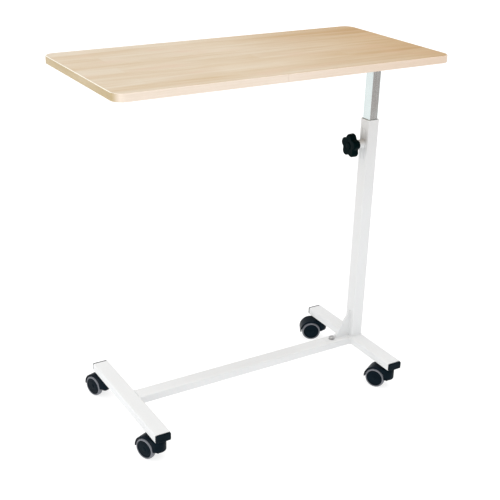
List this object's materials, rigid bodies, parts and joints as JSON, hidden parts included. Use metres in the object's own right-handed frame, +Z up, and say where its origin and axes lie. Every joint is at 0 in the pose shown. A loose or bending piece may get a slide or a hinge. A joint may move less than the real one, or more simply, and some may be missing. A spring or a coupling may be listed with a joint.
{
  "type": "overbed table",
  "caption": "Cantilevered overbed table with a beech-look top, telescoping square column with clamp knob, H-shaped base and twin-wheel castors.",
  "frame": {"origin": "on the floor, under the middle of the outline box (the middle plane of the top, column and base is 7.2 mm towards -Y, because the castors trail towards +Y)", "axes": "+X towards the column end, +Y away from the side the table is used from, +Z up"},
  "size_m": [0.8, 0.3948, 0.847],
  "materials": {
    "beech_laminate": "satin laminate, planks along X",
    "edge_band_laminate": "satin",
    "white_powder_coat": "smooth powder coat",
    "bright_chrome": "polished",
    "zinc_steel": "zinc plated",
    "black_painted_steel": "satin",
    "black_plastic": "moulded, satin",
    "natural_nylon": "moulded",
    "grey_tyre_rubber": "matt",
    "brass": "turned"
  },
  "bodies": {
    "base_frame": {"base_beam": "white_powder_coat", "base_socket": "white_powder_coat", "base_joint_spigot": "zinc_steel", "base_joint_bolt": "zinc_steel", "base_joint_washer": "zinc_steel", "base_joint_nut": "zinc_steel", "base_crossbar_left": "white_powder_coat", "base_crossbar_right": "white_powder_coat", "end_cap_front_left": "black_plastic", "end_cap_back_left": "black_plastic", "end_cap_front_right": "black_plastic", "end_cap_back_right": "black_plastic", "column_outer_tube": "white_powder_coat", "column_guide_bush": "natural_nylon", "column_gusset": "white_powder_coat", "clamp_boss": "white_powder_coat", "castor_front_left_stem": "zinc_steel", "castor_back_left_stem": "zinc_steel", "castor_front_right_stem": "zinc_steel", "castor_back_right_stem": "zinc_steel"},
    "table_top": {"tabletop_board": "beech_laminate", "tabletop_edge_band": "edge_band_laminate", "top_support_plate": "black_painted_steel", "top_support_rail": "black_painted_steel", "top_screw_1": "zinc_steel", "top_screw_2": "zinc_steel", "top_screw_3": "zinc_steel", "top_screw_4": "zinc_steel", "top_screw_5": "zinc_steel", "top_screw_6": "zinc_steel", "column_inner_tube": "bright_chrome", "column_bottom_glide": "natural_nylon"},
    "clamp_pad": {"clamp_pad": "brass"},
    "clamp_knob": {"clamp_knob": "black_plastic", "clamp_stud": "zinc_steel"},
    "castor_front_left": {"castor_front_left_body": "black_plastic", "castor_front_left_axle": "zinc_steel"},
    "castor_front_left_wheel_a": {"castor_front_left_wheel_centre_a": "black_plastic", "castor_front_left_tyre_a": "grey_tyre_rubber"},
    "castor_front_left_wheel_b": {"castor_front_left_wheel_centre_b": "black_plastic", "castor_front_left_tyre_b": "grey_tyre_rubber"},
    "castor_back_left": {"castor_back_left_body": "black_plastic", "castor_back_left_axle": "zinc_steel"},
    "castor_back_left_wheel_a": {"castor_back_left_wheel_centre_a": "black_plastic", "castor_back_left_tyre_a": "grey_tyre_rubber"},
    "castor_back_left_wheel_b": {"castor_back_left_wheel_centre_b": "black_plastic", "castor_back_left_tyre_b": "grey_tyre_rubber"},
    "castor_front_right": {"castor_front_right_body": "black_plastic", "castor_front_right_axle": "zinc_steel"},
    "castor_front_right_wheel_a": {"castor_front_right_wheel_centre_a": "black_plastic", "castor_front_right_tyre_a": "grey_tyre_rubber"},
    "castor_front_right_wheel_b": {"castor_front_right_wheel_centre_b": "black_plastic", "castor_front_right_tyre_b": "grey_tyre_rubber"},
    "castor_back_right": {"castor_back_right_body": "black_plastic", "castor_back_right_axle": "zinc_steel"},
    "castor_back_right_wheel_a": {"castor_back_right_wheel_centre_a": "black_plastic", "castor_back_right_tyre_a": "grey_tyre_rubber"},
    "castor_back_right_wheel_b": {"castor_back_right_wheel_centre_b": "black_plastic", "castor_back_right_tyre_b": "grey_tyre_rubber"}
  },
  "joints": [
    {"name": "height_slide", "type": "slide", "parent": "base_frame", "child": "table_top", "axis": [0, 0, 1], "range_m": [-0.14, 0.2]},
    {"name": "clamp_advance", "type": "slide", "parent": "base_frame", "child": "clamp_pad", "axis": [1, 0, 0], "range_m": [-0.003, 0]},
    {"name": "clamp_turn", "type": "hinge", "parent": "clamp_pad", "child": "clamp_knob", "pos_m": [0.3, -0.0072, 0.604], "axis": [1, 0, 0], "range_deg": [-720, 0]},
    {"name": "castor_front_left_swivel", "type": "hinge", "parent": "base_frame", "child": "castor_front_left", "pos_m": [-0.305, -0.1552, 0.062], "axis": [0, 0, 1], "continuous": true},
    {"name": "castor_front_left_wheel_a_roll", "type": "hinge", "parent": "castor_front_left", "child": "castor_front_left_wheel_a", "pos_m": [-0.31392, -0.13313, 0.025], "axis": [-0.9272, -0.3746, 0], "continuous": true},
    {"name": "castor_front_left_wheel_b_roll", "type": "hinge", "parent": "castor_front_left", "child": "castor_front_left_wheel_b", "pos_m": [-0.31392, -0.13313, 0.025], "axis": [-0.9272, -0.3746, 0], "continuous": true},
    {"name": "castor_back_left_swivel", "type": "hinge", "parent": "base_frame", "child": "castor_back_left", "pos_m": [-0.305, 0.1408, 0.062], "axis": [0, 0, 1], "continuous": true},
    {"name": "castor_back_left_wheel_a_roll", "type": "hinge", "parent": "castor_back_left", "child": "castor_back_left_wheel_a", "pos_m": [-0.31235, 0.16343, 0.025], "axis": [-0.9511, -0.309, 0], "continuous": true},
    {"name": "castor_back_left_wheel_b_roll", "type": "hinge", "parent": "castor_back_left", "child": "castor_back_left_wheel_b", "pos_m": [-0.31235, 0.16343, 0.025], "axis": [-0.9511, -0.309, 0], "continuous": true},
    {"name": "castor_front_right_swivel", "type": "hinge", "parent": "base_frame", "child": "castor_front_right", "pos_m": [0.337, -0.1552, 0.062], "axis": [0, 0, 1], "continuous": true},
    {"name": "castor_front_right_wheel_a_roll", "type": "hinge", "parent": "castor_front_right", "child": "castor_front_right_wheel_a", "pos_m": [0.3251, -0.13459, 0.025], "axis": [-0.866, -0.5, 0], "continuous": true},
    {"name": "castor_front_right_wheel_b_roll", "type": "hinge", "parent": "castor_front_right", "child": "castor_front_right_wheel_b", "pos_m": [0.3251, -0.13459, 0.025], "axis": [-0.866, -0.5, 0], "continuous": true},
    {"name": "castor_back_right_swivel", "type": "hinge", "parent": "base_frame", "child": "castor_back_right", "pos_m": [0.337, 0.1408, 0.062], "axis": [0, 0, 1], "continuous": true},
    {"name": "castor_back_right_wheel_a_roll", "type": "hinge", "parent": "castor_back_right", "child": "castor_back_right_wheel_a", "pos_m": [0.31639, 0.1527, 0.025], "axis": [-0.5, -0.866, 0], "continuous": true},
    {"name": "castor_back_right_wheel_b_roll", "type": "hinge", "parent": "castor_back_right", "child": "castor_back_right_wheel_b", "pos_m": [0.31639, 0.1527, 0.025], "axis": [-0.5, -0.866, 0], "continuous": true}
  ],
  "couplings": [
    {"joint": "clamp_advance", "follows": "clamp_turn", "m_per_rad": 0.0002387}
  ]
}
